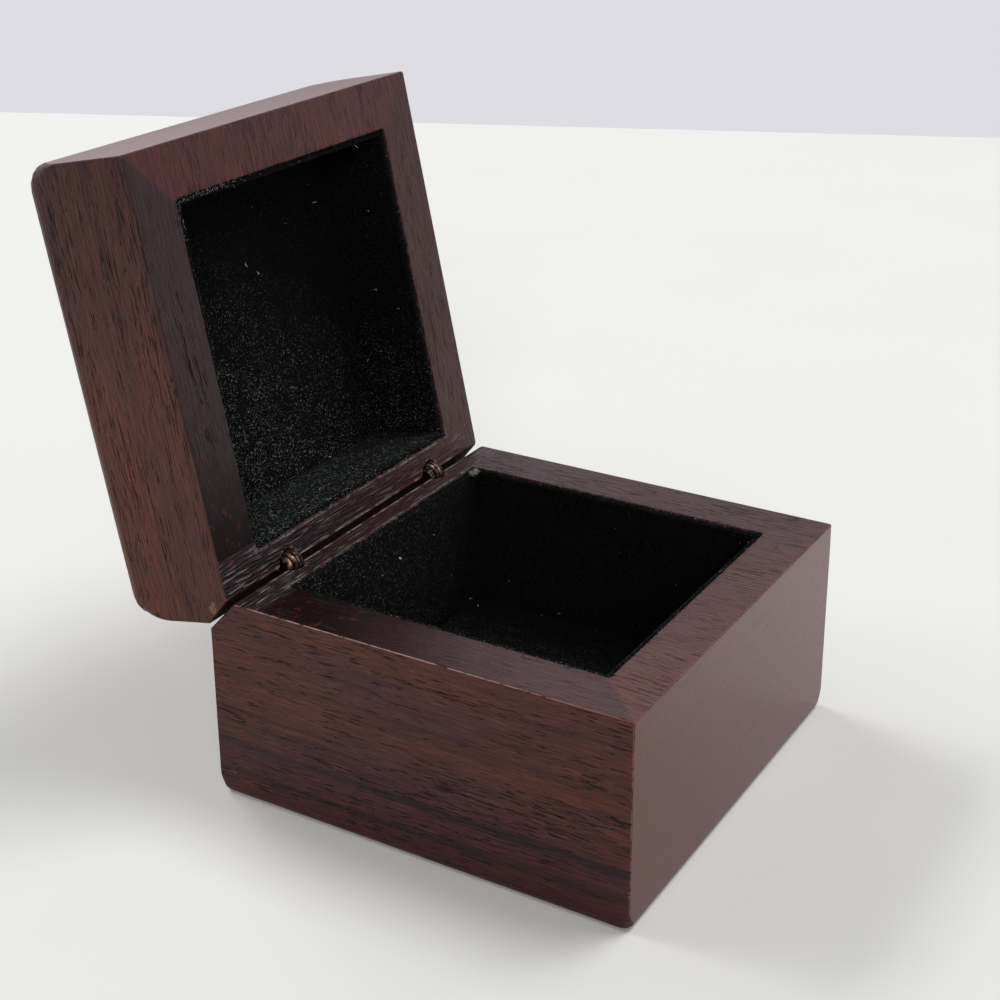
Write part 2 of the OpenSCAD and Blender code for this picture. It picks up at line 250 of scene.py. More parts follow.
    # Both of its edges carry a pale line: partly wear, partly a painted highlight along the rounded edges
    middle, half = (size["pocketRear"] + size["rimRear"]) / 2, (size["rimRear"] - size["pocketRear"]) / 2
    line = addNode(tree, "ShaderNodeSeparateXYZ", {0: wood["mm"]}).outputs[1]
    line = addNode(tree, "ShaderNodeMath", {0: line, 1: middle / mm}, operation="SUBTRACT").outputs[0]
    line = addNode(tree, "ShaderNodeMath", {0: line}, operation="ABSOLUTE").outputs[0]
    line = addNode(tree, "ShaderNodeMapRange", {0: line, 1: half / mm - 0.55, 2: half / mm - 0.34}).outputs[0]
    linePart = addNode(tree, "ShaderNodeMapRange", {0: rub, 1: 0.38, 2: 0.52}).outputs[0]
    line = addNode(tree, "ShaderNodeMath", {0: line, 1: linePart}, operation="MULTIPLY").outputs[0]
    linePart = addNode(tree, "ShaderNodeMapRange", {0: aside, 1: 0.78, 2: 0.755, 4: 0.8}).outputs[0]
    line = addNode(tree, "ShaderNodeMath", {0: line, 1: linePart}, operation="MULTIPLY").outputs[0]
    ridge = addNode(tree, "ShaderNodeMath", {0: ridge, 1: line}, operation="MAXIMUM").outputs[0]
    ridge = addNode(tree, "ShaderNodeMath", {0: ridge, 1: rear}, operation="MULTIPLY").outputs[0]
    hue = addNode(tree, "ShaderNodeMapRange", {0: stain, 1: 0.38, 2: 0.48}).outputs[0]
    torn = addNode(tree, "ShaderNodeMix", {0: hue, 6: linear("#6E2024"), 7: linear("#A08C90")}, data_type="RGBA").outputs[2]
    rim = addNode(tree, "ShaderNodeMix", {0: ridge, 6: rim, 7: torn}, data_type="RGBA").outputs[2]
    # Red stain shows in spots where the varnish has worn off towards the hinge
    spots = addNode(tree, "ShaderNodeMapRange", {0: rub, 1: 0.58, 2: 0.68, 4: 0.8}).outputs[0]
    spots = addNode(tree, "ShaderNodeMath", {0: spots, 1: dark}, operation="MULTIPLY").outputs[0]
    rim = addNode(tree, "ShaderNodeMix", {0: spots, 6: rim, 7: linear("#70242A")}, data_type="RGBA").outputs[2]
    body = addNode(tree, "ShaderNodeMix", {0: facing, 6: body, 7: rim}, data_type="RGBA").outputs[2]
    opened = addNode(tree, "ShaderNodeMapRange", {0: facing, 3: 0.9, 4: 0.6}).outputs[0]
    opened = addNode(tree, "ShaderNodeMath", {0: opened, 1: wood["open"]}, operation="MULTIPLY").outputs[0]
    whole = addNode(tree, "ShaderNodeMath", {0: 1.0, 1: rear}, operation="SUBTRACT").outputs[0]
    opened = addNode(tree, "ShaderNodeMath", {0: opened, 1: whole}, operation="MULTIPLY").outputs[0]
    body = addNode(tree, "ShaderNodeMix", {0: opened, 6: body, 7: linear("#0B0505")}, data_type="RGBA").outputs[2]
    # Distance to the nearest edge: the middle one of the distances to the side, the end and the rim
    reach = addNode(tree, "ShaderNodeVectorMath", {0: wood["mm"]}, operation="ABSOLUTE").outputs[0]
    reach = addNode(tree, "ShaderNodeVectorMath", {
        0: (size["width"] / 2 / mm, size["depth"] / 2 / mm, 0.0), 1: reach}, operation="SUBTRACT").outputs[0]
    reach = addNode(tree, "ShaderNodeSeparateXYZ", {0: reach}).outputs
    down = addNode(tree, "ShaderNodeMath", {0: reach[2]}, operation="ABSOLUTE").outputs[0]
    pair = [addNode(tree, "ShaderNodeMath", {0: reach[0], 1: reach[1]}, operation=kind).outputs[0] for kind in ("MINIMUM", "MAXIMUM")]
    edge = addNode(tree, "ShaderNodeMath", {0: pair[1], 1: down}, operation="MINIMUM").outputs[0]
    edge = addNode(tree, "ShaderNodeMath", {0: pair[0], 1: edge}, operation="MAXIMUM").outputs[0]
    # Edges rubbed to a pale line: partly wear, partly a painted highlight on the rounded edge
    width = addNode(tree, "ShaderNodeMapRange", {0: rub, 1: 0.22, 2: 0.50, 4: look["wearAndHighlight"]}).outputs[0]
    wornAndHighlit = addNode(tree, "ShaderNodeMath", {0: width, 1: edge}, operation="SUBTRACT").outputs[0]
    wornAndHighlit = addNode(tree, "ShaderNodeMapRange", {0: wornAndHighlit, 1: 0.0, 2: 0.05, 4: 0.75}).outputs[0]
    hue = addNode(tree, "ShaderNodeMapRange", {0: spot[1], 1: -0.9, 2: -0.1}).outputs[0]
    hue = addNode(tree, "ShaderNodeMix", {0: hue, 6: linear("#96544E"), 7: linear("#C09A92")}, data_type="RGBA").outputs[2]
    body = addNode(tree, "ShaderNodeMix", {0: wornAndHighlit, 6: body, 7: hue}, data_type="RGBA").outputs[2]
    patch = addNode(tree, "ShaderNodeTexNoise", {"Vector": wood["shifted"], "Scale": 1 / 9, "Detail": 4.0}).outputs["Fac"]
    gloss = addNode(tree, "ShaderNodeMapRange", {0: patch, 1: 0.3, 2: 0.7, 3: 0.30, 4: 0.42}).outputs[0]
    gloss = addNode(tree, "ShaderNodeMath", {0: wornAndHighlit, 1: 0.3, 2: gloss}, operation="MULTIPLY_ADD").outputs[0]
    gloss = addNode(tree, "ShaderNodeMath", {0: opened, 1: 0.45, 2: gloss}, operation="MULTIPLY_ADD").outputs[0]
    rear = addNode(tree, "ShaderNodeMath", {0: rear, 1: rough}, operation="MULTIPLY").outputs[0]
    furrow = addNode(tree, "ShaderNodeMath", {0: furrow, 1: rear}, operation="MULTIPLY").outputs[0]
    relief = addNode(tree, "ShaderNodeMath", {0: furrow, 1: 5.0, 2: wood["relief"]}, operation="MULTIPLY_ADD").outputs[0]
    bump = addNode(tree, "ShaderNodeBump", {"Height": relief, "Strength": 1.0, "Distance": 0.13 * mm})
    tree.links.new(body, surface.inputs["Base Color"])
    tree.links.new(gloss, surface.inputs["Roughness"])
    tree.links.new(bump.outputs[0], surface.inputs["Normal"])
    surface.inputs["IOR"].default_value = 1.5
    surface.inputs["Specular IOR Level"].default_value = 0.25
    return material


def endGrain(name, look, size):
    # The same wood cut across. It drinks stain evenly, so the face is plain, with pits and faint
    # year lines across it, and its fine sanding gives it more sheen than the sides. A painted sheen
    # also makes it lighter and greyer towards the upper right.
    material, tree, surface = newMaterial(name)
    wood = woodGrain(tree, look, size)
    rings = addNode(tree, "ShaderNodeTexNoise", {"Vector": addNode(tree, "ShaderNodeMapping", {
        "Vector": wood["shifted"], "Scale": (1 / 11, 1 / 11, 1 / 0.55)}).outputs[0], "Scale": 1.0, "Detail": 4.0}).outputs["Fac"]
    pits = addNode(tree, "ShaderNodeTexNoise", {"Vector": addNode(tree, "ShaderNodeMapping", {
        "Vector": wood["shifted"], "Scale": (1 / 1.3, 1 / 0.5, 1 / 0.36)}).outputs[0], "Scale": 1.0, "Detail": 2.0}).outputs["Fac"]
    # Painted sheen: the face goes lighter and greyer towards its upper right, standing in for the reflection of the
    # bright table
    light = addNode(tree, "ShaderNodeVectorMath", {0: wood["place"], 1: (0.5, 0, 0.6)}, operation="DOT_PRODUCT").outputs["Value"]
    light = addNode(tree, "ShaderNodeMapRange", {0: light, 1: -0.75, 2: 0.45}).outputs[0]
    body = addNode(tree, "ShaderNodeMix", {0: light, 6: linear(look["end"]), 7: linear(look["endSheenPainted"])}, data_type="RGBA").outputs[2]
    tone = addNode(tree, "ShaderNodeMapRange", {0: rings, 1: 0.3, 2: 0.7, 3: 0.76, 4: 1.26}).outputs[0]
    body = addNode(tree, "ShaderNodeVectorMath", {0: body, "Scale": tone}, operation="SCALE").outputs[0]
    pitted = addNode(tree, "ShaderNodeMapRange", {0: pits, 1: 0.41, 2: 0.30, 4: 0.5}).outputs[0]
    body = addNode(tree, "ShaderNodeMix", {0: pitted, 6: body, 7: linear("#1B0D0D")}, data_type="RGBA").outputs[2]
    gloss = addNode(tree, "ShaderNodeMapRange", {0: rings, 1: 0.3, 2: 0.7, 3: 0.30, 4: 0.38}).outputs[0]
    relief = addNode(tree, "ShaderNodeMath", {0: rings, 1: pitted}, operation="SUBTRACT").outputs[0]
    bump = addNode(tree, "ShaderNodeBump", {"Height": relief, "Strength": 0.6, "Distance": 0.05 * mm})
    tree.links.new(body, surface.inputs["Base Color"])
    tree.links.new(gloss, surface.inputs["Roughness"])
    tree.links.new(bump.outputs[0], surface.inputs["Normal"])
    surface.inputs["IOR"].default_value = 1.5
    surface.inputs["Specular IOR Level"].default_value = 0.42
    return material


def bareWood(name, look, size, first, second, spread):
    # Wood without varnish: torn where it has chipped, or left from the saw. Dull, with open fibres.
    material, tree, surface = newMaterial(name)
    wood = woodGrain(tree, look, size)
    torn = addNode(tree, "ShaderNodeTexNoise", {"Vector": wood["shifted"], "Scale": 1 / 0.8, "Detail": 4.0, "Roughness": 0.65}).outputs["Fac"]
    hue = addNode(tree, "ShaderNodeMapRange", {0: torn, 1: 0.5 - spread, 2: 0.5 + spread}).outputs[0]
    body = addNode(tree, "ShaderNodeMix", {0: hue, 6: linear(first), 7: linear(second)}, data_type="RGBA").outputs[2]
    body = addNode(tree, "ShaderNodeMix", {0: wood["open"], 6: body, 7: linear("#1E0E0B")}, data_type="RGBA").outputs[2]
    gloss = addNode(tree, "ShaderNodeMapRange", {0: torn, 3: 0.6, 4: 0.85}).outputs[0]
    bump = addNode(tree, "ShaderNodeBump", {"Height": torn, "Strength": 0.8, "Distance": 0.15 * mm})
    tree.links.new(body, surface.inputs["Base Color"])
    tree.links.new(gloss, surface.inputs["Roughness"])
    tree.links.new(bump.outputs[0], surface.inputs["Normal"])
    surface.inputs["IOR"].default_value = 1.5
    surface.inputs["Specular IOR Level"].default_value = 0.1
    return material


pile = {  # which way the painted light on the velvet comes in, from painted shade to lit, and between which places in half sizes
    "base": ((-0.6, 0.0, 0), -0.40, 1.0),
    "lid": ((0.5, 0.8, 0), -0.30, 0.75),
}


def blackVelvet(name, litSide, size):
    # Cotton velvet, dyed black, with a short brushed pile. It drinks nearly all light, and only
    # the tips of the pile show a dull grey grain, painted glints that are drawn strongest on the lit
    # side and fade into painted shade away from it.
    material, tree, surface = newMaterial(name)
    spot = addNode(tree, "ShaderNodeTexCoord").outputs["Object"]
    inMm = addNode(tree, "ShaderNodeMapping", {"Vector": spot, "Scale": (1000,) * 3}).outputs[0]
    # Tufts are 0.1 mm apart in the real cloth, drawn three times as coarse so that they show
    tufts = addNode(tree, "ShaderNodeTexNoise", {"Vector": inMm, "Scale": 1 / 0.29, "Detail": 3.0, "Roughness": 0.7}).outputs["Fac"]
    brushed = addNode(tree, "ShaderNodeTexNoise", {"Vector": inMm, "Scale": 1 / 3.0, "Detail": 4.0, "Roughness": 0.65}).outputs["Fac"]
    tips = addNode(tree, "ShaderNodeMapRange", {0: tufts, 1: 0.575, 2: 0.66}).outputs[0]
    brushed = addNode(tree, "ShaderNodeMapRange", {0: brushed, 1: 0.36, 2: 0.62, 3: 0.25, 4: 1.0}).outputs[0]
    way, start, end = litSide
    place = addNode(tree, "ShaderNodeVectorMath", {0: spot, 1: (2 / size["width"], 2 / size["depth"], 0)}, operation="MULTIPLY").outputs[0]
    place = addNode(tree, "ShaderNodeVectorMath", {0: place, 1: way}, operation="DOT_PRODUCT").outputs["Value"]
    # Painted light and shade: the grain is drawn bright on the lit side and dim where the walls shade the cloth
    paintedLit = addNode(tree, "ShaderNodeMapRange", {0: place, 1: start, 2: end, 3: 0.06, 4: 1.0}).outputs[0]
    tips = addNode(tree, "ShaderNodeMath", {0: tips, 1: brushed}, operation="MULTIPLY").outputs[0]
    tips = addNode(tree, "ShaderNodeMath", {0: tips, 1: paintedLit}, operation="MULTIPLY").outputs[0]
    # The grey tips are painted glints of the pile
    color = addNode(tree, "ShaderNodeMix", {0: tips, 6: linear("#020304"), 7: linear("#AAAEAD")}, data_type="RGBA").outputs[2]
    tree.links.new(color, surface.inputs["Base Color"])
    surface.inputs["Roughness"].default_value = 0.95
    surface.inputs["IOR"].default_value = 1.45
    surface.inputs["Specular IOR Level"].default_value = 0.1
    surface.inputs["Sheen Weight"].default_value = 0.03
    surface.inputs["Sheen Roughness"].default_value = 0.45
    surface.inputs["Sheen Tint"].default_value = linear("#9AA0A6")
    bump = addNode(tree, "ShaderNodeBump", {"Height": tufts, "Strength": 0.9, "Distance": 0.12 * mm})
    tree.links.new(bump.outputs[0], surface.inputs["Normal"])
    return material


def agedBrass(name, ribs):
    # Turned brass that has dulled in use. Brown tarnish lies in patches over the yellow metal, and
    # the slits between the leaves are drawn near black.
    material, tree, surface = newMaterial(name)
    spot = addNode(tree, "ShaderNodeTexCoord").outputs["Object"]
    inMm = addNode(tree, "ShaderNodeMapping", {"Vector": spot, "Scale": (1000,) * 3}).outputs[0]
    patch = addNode(tree, "ShaderNodeTexNoise", {"Vector": inMm, "Scale": 1 / 0.7, "Detail": 4.0}).outputs["Fac"]
    turned = addNode(tree, "ShaderNodeTexNoise", {"Vector": addNode(tree, "ShaderNodeMapping", {
        "Vector": inMm, "Scale": (1 / 0.9, 1 / 0.08, 1 / 0.08)}).outputs[0], "Scale": 1.0, "Detail": 2.0}).outputs["Fac"]
    dull = addNode(tree, "ShaderNodeMapRange", {0: patch, 1: 0.40, 2: 0.60}).outputs[0]
    color = addNode(tree, "ShaderNodeMix", {0: dull, 6: linear("#786352"), 7: linear("#1B1512")}, data_type="RGBA").outputs[2]
    gloss = addNode(tree, "ShaderNodeMapRange", {0: dull, 3: 0.30, 4: 0.60}).outputs[0]
    # Distance from the nearest slit, as the leaves are stacked from side to side round each hinge's middle
    across = addNode(tree, "ShaderNodeSeparateXYZ", {0: inMm}).outputs[0]
    across = addNode(tree, "ShaderNodeMath", {0: across}, operation="ABSOLUTE").outputs[0]
    across = addNode(tree, "ShaderNodeMath", {0: across, 1: ribs["middle"] - ribs["pitch"] * 4.5}, operation="SUBTRACT").outputs[0]
    slit = addNode(tree, "ShaderNodeMath", {0: across, 1: ribs["pitch"] / 2}, operation="PINGPONG").outputs[0]
    slit = addNode(tree, "ShaderNodeMapRange", {0: slit, 1: ribs["slitDark"], 2: 0.4 * ribs["slitDark"], 4: 0.95}).outputs[0]
    color = addNode(tree, "ShaderNodeMix", {0: slit, 6: color, 7: linear("#0B0705")}, data_type="RGBA").outputs[2]
    gloss = addNode(tree, "ShaderNodeMath", {0: slit, 1: 0.35, 2: gloss}, operation="MULTIPLY_ADD").outputs[0]
    tree.links.new(color, surface.inputs["Base Color"])
    tree.links.new(gloss, surface.inputs["Roughness"])
    surface.inputs["Metallic"].default_value = 1.0
    relief = addNode(tree, "ShaderNodeMath", {0: slit, 1: -4.0, 2: turned}, operation="MULTIPLY_ADD").outputs[0]
    bump = addNode(tree, "ShaderNodeBump", {"Height": relief, "Strength": 0.5, "Distance": 0.03 * mm})
    tree.links.new(bump.outputs[0], surface.inputs["Normal"])
    return material


def drawnSteel(name):
    # Drawn steel wire gone dark with age, with faint lines along its length.
    material, tree, surface = newMaterial(name)
    spot = addNode(tree, "ShaderNodeTexCoord").outputs["Object"]
    lines = addNode(tree, "ShaderNodeTexNoise", {"Vector": addNode(tree, "ShaderNodeMapping", {
        "Vector": spot, "Scale": (400, 12000, 12000)}).outputs[0], "Scale": 1.0}).outputs["Fac"]
    color = addNode(tree, "ShaderNodeMix", {0: lines, 6: linear("#1E1A16"), 7: linear("#37322C")}, data_type="RGBA").outputs[2]
    tree.links.new(color, surface.inputs["Base Color"])
    surface.inputs["Metallic"].default_value = 1.0
    surface.inputs["Roughness"].default_value = 0.35
    return material


def lintFluff(name):
    # Pale cotton dust caught in the pile.
    material, tree, surface = newMaterial(name)
    spot = addNode(tree, "ShaderNodeTexCoord").outputs["Object"]
    tone = addNode(tree, "ShaderNodeTexNoise", {"Vector": spot, "Scale": 900.0}).outputs["Fac"]
    color = addNode(tree, "ShaderNodeMix", {0: tone, 6: linear("#82827F"), 7: linear("#DDDCD6")}, data_type="RGBA").outputs[2]
    tree.links.new(color, surface.inputs["Base Color"])
    surface.inputs["Roughness"].default_value = 0.9
    return material


def driedGlue(name):
    # A squeezed-out bead of hide glue, cloudy grey and half clear.
    material, tree, surface = newMaterial(name)
    spot = addNode(tree, "ShaderNodeTexCoord").outputs["Object"]
    cloud = addNode(tree, "ShaderNodeTexNoise", {"Vector": spot, "Scale": 1400.0, "Detail": 3.0}).outputs["Fac"]
    color = addNode(tree, "ShaderNodeMix", {0: cloud, 6: linear("#1E1E1E"), 7: linear("#787876")}, data_type="RGBA").outputs[2]
    tree.links.new(color, surface.inputs["Base Color"])
    surface.inputs["Roughness"].default_value = 0.32
    surface.inputs["IOR"].default_value = 1.5
    surface.inputs["Subsurface Weight"].default_value = 0.2
    surface.inputs["Subsurface Radius"].default_value = (0.4 * mm,) * 3
    return material


finishes = {  # the slots of each block: varnished, torn, cut across, sawn
    kind: [stainedWood(f"stainedWood_{kind}", woods[kind], half["size"]),
           bareWood(f"tornWood_{kind}", woods[kind], half["size"], "#5C2020", "#8A7260", 0.12),
           endGrain(f"endGrain_{kind}", woods[kind], half["size"]),
           bareWood(f"sawnWood_{kind}", woods[kind], half["size"], "#160808", "#3A1E1C", 0.2)]
    for kind, half in halves.items()
}
velvets = {kind: blackVelvet(f"blackVelvet_{kind}", pile[kind], half["size"]) for kind, half in halves.items()}
leafRibs = {"middle": 18.5, "pitch": 0.71, "slitDark": 0.17}  # millimetres: a hinge's place, its leaves, the near-black band beside a slit
brass = agedBrass("agedBrass", leafRibs)
steel = drawnSteel("drawnSteel")
lint = lintFluff("lintFluff")
glue = driedGlue("driedGlue")
print("materials made")


# Mesh helpers

def meshObject(name, points, faces, place, materials):
    mesh = bpy.data.meshes.new(name)
    mesh.from_pydata([tuple(p) for p in points], [], faces)
    mesh.validate()
    for material in materials:
        mesh.materials.append(material)
    made = bpy.data.objects.new(name, mesh)
    bpy.context.scene.collection.objects.link(made)
    made.matrix_world = place
    return made


def bake(piece):  # the modifiers' result becomes the mesh
    shown = piece.evaluated_get(bpy.context.evaluated_depsgraph_get())
    mesh = bpy.data.meshes.new_from_object(shown)
    piece.modifiers.clear()
    piece.data = mesh


def cut(piece, cutter, crossing=False):
    step = piece.modifiers.new("cut", "BOOLEAN")
    step.operation, step.solver, step.object = "DIFFERENCE", "EXACT", cutter
    step.use_self = crossing
    step.material_mode = "INDEX"
    bake(piece)
    bpy.data.objects.remove(cutter)


def loft(rings):  # closed skin over rings of equal count, lowest first
    count = len(rings[0])
    points = [p for ring in rings for p in ring]
    faces = [tuple(reversed(range(count)))]
    for level in range(len(rings) - 1):
        for i in range(count):
            a, b = level * count + i, level * count + (i + 1) % count
            faces.append((a, b, b + count, a + count))
    faces.append(tuple(range(len(points) - count, len(points))))
    return points, faces


def softRectangle(low, high, grow, corner, z):
    points = []
    for cx, cy, start in ((1, 1, 0), (-1, 1, 90), (-1, -1, 180), (1, -1, 270)):
        x = (high.x + grow - corner) if cx > 0 else (low.x - grow + corner)
        y = (high.y + grow - corner) if cy > 0 else (low.y - grow + corner)
        for step in range(5):
            turn = math.radians(start + 22.5 * step)
            points.append((x + corner * math.cos(turn), y + corner * math.sin(turn), z))
    return points


# The two wooden blocks

block = {
    "crispEdge": 0.22 * mm,   # sanded radius of the upright and rim edges
    "lip": 0.25 * mm,         # radius round the pocket's mouth
    "pocketCorner": 0.5 * mm,
    "holeSlack": 0.05 * mm,   # the drilled hole is that much wider than the barrel
    "holeFlare": 0.22 * mm,   # how far its mouth has crumbled
}
# Edges that have lost chips: two ends in halves of width, depth and height, how many, and the largest bite
chippedEdges = {
    "base": [
        ((-1, -1, -0.2), (-1, -1, -0.95), 34, 0.19), ((-1, -1, 0), (-1, 0.8, 0), 12, 0.10),
        ((-1, -1, 0), (1, -1, 0), 10, 0.09), ((1, -1, -0.1), (1, -1, -0.9), 8, 0.12),
        ((1, -1, 0), (1, 0.8, 0), 8, 0.10), ((-1, 1, -0.2), (-1, 1, -0.9), 6, 0.14),
        ((-1, 0.87, 0), (1, 0.87, 0), 26, 0.16),
    ],
    "lid": [
        ((1, -1, -0.05), (1, -1, -0.8), 6, 0.12), ((1, -1, 0), (1, 0.85, 0), 8, 0.08),
        ((-1, -1, 0), (1, -1, 0), 12, 0.10), ((-1, -1, 0), (-1, 0.85, 0), 8, 0.10),
        ((-1, -1, -0.1), (-1, -1, -0.8), 6, 0.12), ((-1, 0.89, 0), (1, 0.89, 0), 26, 0.16),
    ],
}
# Single dents in millimetres, from the block's middle at the rim: place, then reach along x, y and z
dents = {
    "base": [
        ((-32.5, 30.0, -26.9), (0.06, 0.70, 0.07)), ((-32.5, 30.0, -26.9), (0.06, 0.08, 0.62)),
        ((-32.5, 30.2, -26.8), (0.06, 0.45, 0.06)), ((-32.45, -32.45, 0.0), (0.28, 0.28, 0.20)),
    ],
    "lid": [
        ((32.55, 30.2, -2.9), (0.35, 1.35, 0.75)), ((32.5, -10.0, -9.0), (0.05, 0.5, 0.05)),
    ],
}


# Open cracks: in rows on both side faces, and a group of long ones in the lid's left rail, in millimetres
cracks = {
    "rows": 13, "inRow": 9, "length": (0.8, 5.0), "spread": 0.45, "width": (0.045, 0.085),
    "base": [],
    "lid": [
        ((28.4, -13.5), (27.9, -10.5)), ((28.9, -9.6), (29.0, -4.4)), ((29.2, -6.0), (28.6, -0.6)),
        ((27.6, -4.6), (27.5, 2.3)), ((29.0, -4.4), (29.0, 0.6)), ((26.9, -1.6), (26.7, 0.1)),
        ((29.0, 0.7), (28.1, 2.1)), ((29.7, 4.9), (28.3, 6.6)), ((29.2, 6.0), (28.3, 7.6)),
    ],
}


def blockBody(name, size, place, materials):
    # Slices from the outer face up to the rim. The upright corners are crisp at the rim and
    # sanded to a ball at the outer face, and the rear side leans in along the chamfer.
    w, d, h = size["width"] / 2, size["depth"] / 2, size["height"]
    soft, crisp = size["softEdge"], block["crispEdge"]
    cin, cdown = size["chamferIn"], size["chamferDown"]
    slices = []  # height, how far every side lies in, the corner's radius, how far the rear lies in
    for k in range(8):
        t = math.radians(90 * k / 7)
        slices.append((-h + soft * (1 - math.cos(t)), soft * (1 - math.sin(t)), soft * 1.15, 0.0))
    for k in range(1, 6):
        slices.append((-h + soft * (1 + 0.4 * k), 0.0, crisp + (soft * 1.15 - crisp) * (1 - k / 5) ** 2, 0.0))
    slices += [(-cdown - crisp / 2, 0.0, crisp, 0.0), (-cdown, 0.0, crisp, 0.12 * crisp),
               (-cdown + crisp / 2, 0.0, crisp, cin * crisp / 2 / cdown)]
    for k in range(5):
        t = math.radians(90 * k / 4)
        z = -crisp + crisp * math.sin(t)
        slices.append((z, crisp * (1 - math.cos(t)), crisp * 1.6, cin * (z + cdown) / cdown))
    rings = [softRectangle(Vector((-w, -d, 0)), Vector((w, d - rear, 0)), -inset, max(corner, 0.05 * mm), z)
             for z, inset, corner, rear in slices]
    points, faces = loft(rings)
    return meshObject(name, points, faces, place, materials)


def pocketCutter(low, high):
    lip = block["lip"]
    levels = [(low.z, 0.0), (-lip, 0.0)]
    levels += [(-lip * math.cos(t), lip * (1 - math.sin(math.pi / 2 - t))) for t in (0.5, 1.0, 1.4)]
    levels += [(2 * mm, levels[-1][1] + 0.1 * mm)]
    points, faces = loft([softRectangle(low, high, grow, block["pocketCorner"], z) for z, grow in levels])
    made = meshObject("pocketCutter", points, faces, Matrix(), finishes["base"])
    for face in made.data.polygons:
        face.material_index = 0
    return made


def holeCutter(x, radius, bottom):
    sides, levels = 28, []
    for z, flare in ((bottom, 0.0), (-1.4 * mm, 0.0), (-0.5 * mm, 0.25), (0.0, 1.0), (1.5 * mm, 1.3)):
        ring = []
        for i in range(sides):
            turn = 2 * math.pi * i / sides
            crumble = 0.35 + 1.3 * abs(noise.noise(Vector((3 * math.cos(turn), 3 * math.sin(turn), x / mm))))
            reach = radius + flare * block["holeFlare"] * crumble
            ring.append((x + reach * math.cos(turn), pin.y + reach * math.sin(turn), z))
        levels.append(ring)
    points, faces = loft(levels)
    made = meshObject("holeCutter", points, faces, Matrix(), finishes["base"])
    for face in made.data.polygons:
        face.material_index = 1
    return made


def crackCuts(kind, size):
    cuts = []
    w, d, h = size["width"] / 2, size["depth"] / 2, size["height"]
    wide = [v * mm for v in cracks["width"]]
    for side in (-1, 1):
        for _ in range(cracks["rows"]):
            rowZ, rowY = random.uniform(-0.92, -0.08) * h, random.uniform(-0.8, 0.8) * d
            for _ in range(cracks["inRow"]):
                length = cracks["length"][0] * (cracks["length"][1] / cracks["length"][0]) ** random.random() * mm
                y, z = rowY + random.gauss(0, 9) * mm, rowZ + random.gauss(0, cracks["spread"]) * mm
                if abs(y) + length < d - 3 * mm and -h + 1.5 * mm < z < -0.7 * mm:
                    reach = random.uniform(*wide)
                    for k in range(3):
                        slip = Vector((0, (k - 1) * length * 0.42, random.gauss(0, 0.07) * mm))
                        cuts.append((Vector((side * w, y, z)) + slip, reach, (0.9, 0.30 * length / reach, 1.0)))
    for a, b in cracks[kind]:
        a, b = Vector((*a, 0)) * mm, Vector((*b, 0)) * mm
        count = max(3, round((b - a).length / (0.8 * mm)))
        for k in range(count):
            at = a.lerp(b, (k + 0.5) / count) + Vector((random.gauss(0, 0.06) * mm, 0, 0))
            cuts.append((at, random.uniform(0.08, 0.14) * mm, (1.0, 0.7 * (b - a).length / count / (0.1 * mm), 1.3)))
    return cuts


def chipCutter(cracked, chips):  # one cutter for both, as a second cut through the first leaves stray faces
    shape = bmesh.new()
    for slot, (center, reach, squeeze) in [(3, one) for one in cracked] + [(1, one) for one in chips]:
        first, faces = len(shape.verts), len(shape.faces)
        bmesh.ops.create_icosphere(shape, subdivisions=1, radius=reach)
        shape.verts.ensure_lookup_table()
        for vert in shape.verts[first:]:
            rough = 1 + 0.5 * (random.random() - 0.5)
            vert.co = Vector(center) + Vector([vert.co[i] * squeeze[i] * rough for i in range(3)])
        shape.faces.ensure_lookup_table()
        for face in shape.faces[faces:]:
            face.material_index = slot
    made = meshObject("chipCutter", [], [], Matrix(), finishes["base"])
    shape.to_mesh(made.data)
    shape.free()
    return made


def dropBubbles(piece):  # a chip that lies wholly under the surface would stay as a hollow
    shape = bmesh.new()
    shape.from_mesh(piece.data)
    left, islands = set(shape.verts), []
    while left:
        ahead = [left.pop()]
        islands.append(set(ahead))
        while ahead:
            vert = ahead.pop()
            found = left.intersection(edge.other_vert(vert) for edge in vert.link_edges)
            left -= found
            islands[-1] |= found
            ahead += found
    body = max(islands, key=len)
    bmesh.ops.delete(shape, geom=[vert for vert in shape.verts if vert not in body], context="VERTS")
    shape.to_mesh(piece.data)
    shape.free()


def edgeChips(kind, size):
    w, d, h = size["width"] / 2, size["depth"] / 2, size["height"]
    chips = []
    for start, end, count, bite in chippedEdges[kind]:
        a = Vector((start[0] * w, start[1] * d, start[2] * h))
        b = Vector((end[0] * w, end[1] * d, end[2] * h))
        run = (b - a).normalized()
        for i in range(count):
            at = a.lerp(b, random.random())
            reach = bite * mm * (0.35 + 0.65 * random.random() ** 2)
            out = Vector((math.copysign(1, at.x) if abs(run.x) < 0.5 else 0,
                          math.copysign(1, at.y) if abs(run.y) < 0.5 else 0,
                          1 if abs(run.z) < 0.5 else 0)).normalized()
            stretch = 1.2 + 2.2 * random.random()
            squeeze = [stretch if abs(run[k]) > 0.5 else 1.0 for k in range(3)]
            chips.append((at - out * (block["crispEdge"] * 0.55 - reach * 0.35), reach, squeeze))
    return chips


def mouthChips(x, radius, size):  # splinters torn out round a hinge hole
    chips = []
    for _ in range(11):
        turn = math.radians(150 + 240 * random.random())
        reach = (0.12 + 0.2 * random.random()) * mm
        y = pin.y + (radius + 0.25 * mm) * math.sin(turn)
        z = 0.0
        past = y - (size["depth"] / 2 - size["chamferIn"])
        if past > 0:
            z = -past * size["chamferDown"] / size["chamferIn"]
        chips.append(((x + (radius + 0.3 * mm) * math.cos(turn), y, z + reach * 0.5), reach, (1.2, 1.0 + 2 * random.random(), 0.9)))
    return chips


